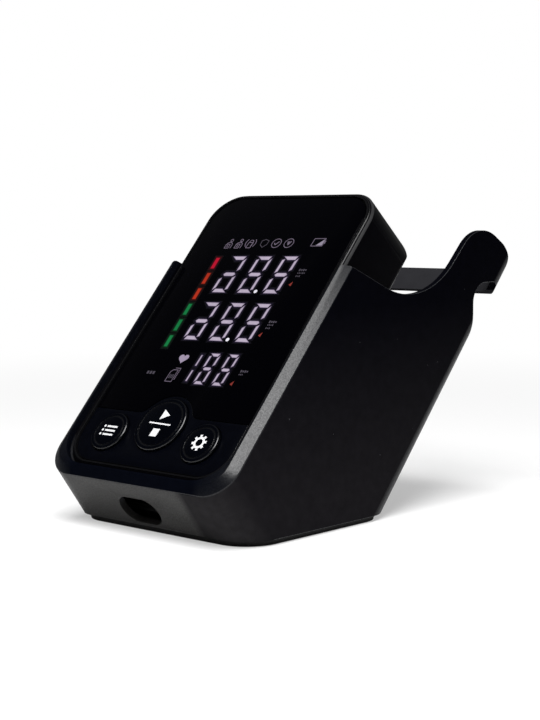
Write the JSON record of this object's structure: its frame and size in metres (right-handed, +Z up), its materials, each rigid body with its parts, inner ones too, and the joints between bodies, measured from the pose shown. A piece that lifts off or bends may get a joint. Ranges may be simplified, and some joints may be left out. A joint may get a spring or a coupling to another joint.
{
  "type": "upper-arm blood pressure monitor in a desk dock",
  "caption": "Black blood pressure monitor with a sloping display and round buttons, standing in a dock with a cuff bay and a rear hook bar.",
  "frame": {"origin": "centre of the rubber pad's underside, on the table", "axes": "+Z up; +X across the width, to the right for a user who faces the display; +Y from the display towards the hook bar at the back"},
  "size_m": [0.092, 0.1666, 0.1198],
  "materials": {
    "dock_shell_black": "satin, fine spark texture",
    "dock_inner_black": "matte",
    "pad_rubber": "matte",
    "screw_steel": "zinc plated",
    "case_black": "satin",
    "frame_black": "polished",
    "window_black": "mirror gloss",
    "panel_black": "satin gloss",
    "button_black": "satin gloss",
    "silicone_grey": "matte",
    "reflector_white": "matte",
    "diffuser_violet": "frosted",
    "board_green": "solder mask",
    "chip_black": "matte",
    "lamp_white": "gloss",
    "sensor_grey": "matte",
    "socket_steel": "stamped",
    "socket_black": "smooth",
    "motor_steel": "drawn can",
    "pump_white": "moulded",
    "foam_grey": "foam",
    "valve_steel": "bracket",
    "manifold_white": "moulded",
    "tube_clear": "silicone",
    "cell_jacket": "printed sleeve",
    "spring_nickel": "nickel"
  },
  "bodies": {
    "dock": {"dock_shell": "dock_shell_black", "cradle_tray": "dock_inner_black", "dock_base_plate": "dock_inner_black", "base_pad": "pad_rubber", "dock_screws": "screw_steel"},
    "monitor": {"rear_housing": "case_black", "front_frame": "frame_black", "display_window": "window_black", "button_panel": "panel_black", "keypad": "silicone_grey", "light_guide": "reflector_white", "light_segments": "diffuser_violet", "display_board": "board_green", "display_leds": "lamp_white", "main_board": "board_green", "board_chips": "chip_black", "pressure_sensor": "sensor_grey", "speaker": "chip_black", "usb_socket": "socket_steel", "air_socket": "socket_black", "pump_motor": "motor_steel", "pump_head": "pump_white", "pump_saddle": "foam_grey", "release_valve": "valve_steel", "air_manifold": "manifold_white", "air_tubes": "tube_clear", "battery_cells": "cell_jacket", "battery_springs": "spring_nickel", "battery_contacts": "spring_nickel", "monitor_feet": "pad_rubber", "case_screws": "screw_steel", "board_screws": "screw_steel"},
    "start_button": {"start_button": "button_black"},
    "memory_button": {"memory_button": "button_black"},
    "settings_button": {"settings_button": "button_black"},
    "battery_cover": {"battery_cover": "case_black"}
  },
  "joints": [
    {"name": "monitor_lift", "type": "slide", "parent": "dock", "child": "monitor", "axis": [0, 0.6652, 0.7466], "range_m": [0, 0.12]},
    {"name": "start_press", "type": "slide", "parent": "monitor", "child": "start_button", "axis": [0, 0.7466, -0.6652], "range_m": [0, 0.0008], "stiffness_N_per_m": 600, "springref_m": -0.0006},
    {"name": "memory_press", "type": "slide", "parent": "monitor", "child": "memory_button", "axis": [0, 0.7466, -0.6652], "range_m": [0, 0.0008], "stiffness_N_per_m": 600, "springref_m": -0.0006},
    {"name": "settings_press", "type": "slide", "parent": "monitor", "child": "settings_button", "axis": [0, 0.7466, -0.6652], "range_m": [0, 0.0008], "stiffness_N_per_m": 600, "springref_m": -0.0006},
    {"name": "battery_cover_slide", "type": "slide", "parent": "monitor", "child": "battery_cover", "axis": [0, 0.6652, 0.7466], "range_m": [0, 0.07]}
  ]
}
